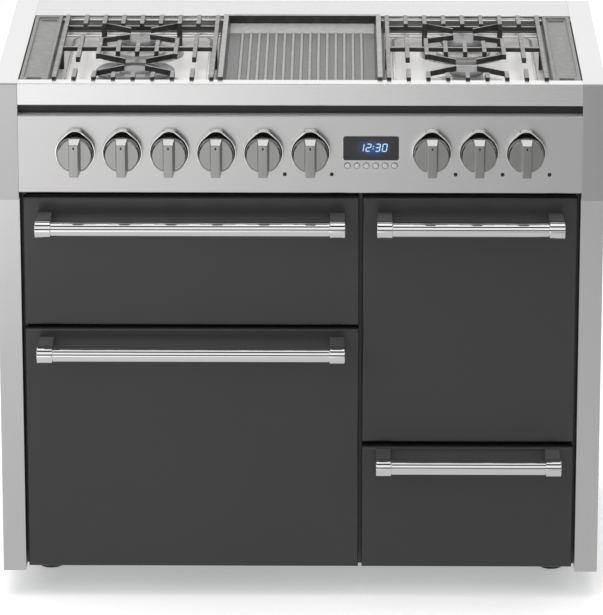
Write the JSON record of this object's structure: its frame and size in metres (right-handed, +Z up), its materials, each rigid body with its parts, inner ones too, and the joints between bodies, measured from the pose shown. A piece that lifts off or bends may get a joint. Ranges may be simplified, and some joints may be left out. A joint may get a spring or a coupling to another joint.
{
  "type": "cooking stove",
  "caption": "Free-standing range cooker with gas burners, a ribbed griddle, rotary knobs, a timer, drop-down oven doors and a storage drawer.",
  "frame": {"origin": "on the floor under the middle of the overall box", "axes": "+X to the right seen from the front, +Y to the back, +Z up"},
  "size_m": [1, 0.662, 0.904],
  "materials": {
    "stainless_steel": "fine horizontal brushing, satin",
    "galvanised_steel": "dull zinc coating",
    "charcoal_enamel": "semi-gloss charcoal enamel",
    "black_enamel": "gloss black enamel with fine speckle",
    "polished_chrome": "polished chrome plate",
    "cast_iron": "matt enamelled casting, grey on its worn edges",
    "burner_alloy": "cast alloy, satin",
    "display_glass": "black display window",
    "button_metal": "small bright caps",
    "lamp_lens": "dark red lens",
    "gas_pipe": "bare drawn tube",
    "element_steel": "heat-blued sheath",
    "seal_rubber": "soft black seal",
    "foot_plastic": "black foot with a threaded stem"
  },
  "bodies": {
    "case": {"side_casing_left": "stainless_steel", "side_casing_right": "stainless_steel", "front_fascia": "stainless_steel", "rear_deck": "stainless_steel", "hob_pan": "stainless_steel", "control_panel": "stainless_steel", "base_frame": "galvanised_steel", "back_panel": "galvanised_steel", "door_hinges": "galvanised_steel", "drawer_runners": "galvanised_steel", "control_valves": "galvanised_steel", "terminal_box": "galvanised_steel", "fan_motor": "galvanised_steel", "oven_face_frame": "black_enamel", "grill_oven_liner": "black_enamel", "main_oven_liner": "black_enamel", "tall_oven_liner": "black_enamel", "knob_bezels": "polished_chrome", "oven_racks": "polished_chrome", "burner_caps": "cast_iron", "burner_bodies": "burner_alloy", "timer_display": "display_glass", "indicator_lamps": "lamp_lens", "gas_rail": "gas_pipe", "heating_elements": "element_steel", "door_seals": "seal_rubber", "levelling_feet": "foot_plastic"},
    "main_door": {"main_door_skin": "charcoal_enamel", "main_door_inner_panel": "black_enamel", "main_door_handle": "polished_chrome"},
    "grill_door": {"grill_door_skin": "charcoal_enamel", "grill_door_inner_panel": "black_enamel", "grill_door_handle": "polished_chrome"},
    "tall_door": {"tall_door_skin": "charcoal_enamel", "tall_door_inner_panel": "black_enamel", "tall_door_handle": "polished_chrome"},
    "drawer": {"drawer_front": "charcoal_enamel", "drawer_box": "galvanised_steel", "drawer_handle": "polished_chrome"},
    "pan_support_left": {"pan_support_left": "cast_iron"},
    "pan_support_right": {"pan_support_right": "cast_iron"},
    "griddle": {"griddle_plate": "cast_iron"},
    "side_tray_left": {"side_tray_left": "cast_iron"},
    "side_tray_right": {"side_tray_right": "cast_iron"},
    "fan": {"main_oven_fan": "burner_alloy"},
    "knob_1": {"knob_1": "polished_chrome"},
    "knob_2": {"knob_2": "polished_chrome"},
    "knob_3": {"knob_3": "polished_chrome"},
    "knob_4": {"knob_4": "polished_chrome"},
    "knob_5": {"knob_5": "polished_chrome"},
    "knob_6": {"knob_6": "polished_chrome"},
    "knob_7": {"knob_7": "polished_chrome"},
    "knob_8": {"knob_8": "polished_chrome"},
    "knob_9": {"knob_9": "polished_chrome"},
    "timer_button_1": {"timer_button_1": "button_metal"},
    "timer_button_2": {"timer_button_2": "button_metal"},
    "timer_button_3": {"timer_button_3": "button_metal"},
    "timer_button_4": {"timer_button_4": "button_metal"},
    "timer_button_5": {"timer_button_5": "button_metal"},
    "timer_button_6": {"timer_button_6": "button_metal"}
  },
  "joints": [
    {"name": "main_door_hinge", "type": "hinge", "parent": "case", "child": "main_door", "pos_m": [-0.1798, -0.234, 0.0791], "axis": [1, 0, 0], "range_deg": [0, 85], "stiffness_Nm_per_rad": 4, "springref_deg": -28.65},
    {"name": "grill_door_hinge", "type": "hinge", "parent": "case", "child": "grill_door", "pos_m": [-0.1798, -0.234, 0.50487], "axis": [1, 0, 0], "range_deg": [0, 90], "stiffness_Nm_per_rad": 4, "springref_deg": -28.65},
    {"name": "tall_door_hinge", "type": "hinge", "parent": "case", "child": "tall_door", "pos_m": [0.28, -0.234, 0.30128], "axis": [1, 0, 0], "range_deg": [0, 90], "stiffness_Nm_per_rad": 4, "springref_deg": -28.65},
    {"name": "drawer_slide", "type": "slide", "parent": "case", "child": "drawer", "axis": [0, -1, 0], "range_m": [0, 0.42]},
    {"name": "pan_support_left_lift", "type": "slide", "parent": "case", "child": "pan_support_left", "axis": [0, 0, 1], "range_m": [0, 0.06]},
    {"name": "pan_support_right_lift", "type": "slide", "parent": "case", "child": "pan_support_right", "axis": [0, 0, 1], "range_m": [0, 0.06]},
    {"name": "griddle_lift", "type": "slide", "parent": "case", "child": "griddle", "axis": [0, 0, 1], "range_m": [0, 0.06]},
    {"name": "side_tray_left_lift", "type": "slide", "parent": "case", "child": "side_tray_left", "axis": [0, 0, 1], "range_m": [0, 0.05]},
    {"name": "side_tray_right_lift", "type": "slide", "parent": "case", "child": "side_tray_right", "axis": [0, 0, 1], "range_m": [0, 0.05]},
    {"name": "knob_1_turn", "type": "hinge", "parent": "case", "child": "knob_1", "pos_m": [-0.368, -0.3, 0.7861], "axis": [0, -1, 0], "range_deg": [0, 210]},
    {"name": "knob_2_turn", "type": "hinge", "parent": "case", "child": "knob_2", "pos_m": [-0.291, -0.3, 0.7861], "axis": [0, -1, 0], "range_deg": [0, 210]},
    {"name": "knob_3_turn", "type": "hinge", "parent": "case", "child": "knob_3", "pos_m": [-0.214, -0.3, 0.7861], "axis": [0, -1, 0], "range_deg": [0, 210]},
    {"name": "knob_4_turn", "type": "hinge", "parent": "case", "child": "knob_4", "pos_m": [-0.137, -0.3, 0.7861], "axis": [0, -1, 0], "range_deg": [0, 210]},
    {"name": "knob_5_turn", "type": "hinge", "parent": "case", "child": "knob_5", "pos_m": [-0.06, -0.3, 0.7861], "axis": [0, 1, 0], "range_deg": [0, 290]},
    {"name": "knob_6_turn", "type": "hinge", "parent": "case", "child": "knob_6", "pos_m": [0.017, -0.3, 0.7861], "axis": [0, 1, 0], "range_deg": [0, 290]},
    {"name": "knob_7_turn", "type": "hinge", "parent": "case", "child": "knob_7", "pos_m": [0.2155, -0.3, 0.7861], "axis": [0, 1, 0], "range_deg": [0, 290]},
    {"name": "knob_8_turn", "type": "hinge", "parent": "case", "child": "knob_8", "pos_m": [0.2925, -0.3, 0.7861], "axis": [0, 1, 0], "range_deg": [0, 290]},
    {"name": "knob_9_turn", "type": "hinge", "parent": "case", "child": "knob_9", "pos_m": [0.3695, -0.3, 0.7861], "axis": [0, 1, 0], "range_deg": [0, 290]},
    {"name": "timer_button_1_press", "type": "slide", "parent": "case", "child": "timer_button_1", "axis": [0, 1, 0], "range_m": [0, 0.0015], "stiffness_N_per_m": 400, "springref_m": -0.0005},
    {"name": "timer_button_2_press", "type": "slide", "parent": "case", "child": "timer_button_2", "axis": [0, 1, 0], "range_m": [0, 0.0015], "stiffness_N_per_m": 400, "springref_m": -0.0005},
    {"name": "timer_button_3_press", "type": "slide", "parent": "case", "child": "timer_button_3", "axis": [0, 1, 0], "range_m": [0, 0.0015], "stiffness_N_per_m": 400, "springref_m": -0.0005},
    {"name": "timer_button_4_press", "type": "slide", "parent": "case", "child": "timer_button_4", "axis": [0, 1, 0], "range_m": [0, 0.0015], "stiffness_N_per_m": 400, "springref_m": -0.0005},
    {"name": "timer_button_5_press", "type": "slide", "parent": "case", "child": "timer_button_5", "axis": [0, 1, 0], "range_m": [0, 0.0015], "stiffness_N_per_m": 400, "springref_m": -0.0005},
    {"name": "timer_button_6_press", "type": "slide", "parent": "case", "child": "timer_button_6", "axis": [0, 1, 0], "range_m": [0, 0.0015], "stiffness_N_per_m": 400, "springref_m": -0.0005},
    {"name": "fan_spin", "type": "hinge", "parent": "case", "child": "fan", "pos_m": [-0.1798, 0.212, 0.27564], "axis": [0, 1, 0], "continuous": true}
  ]
}
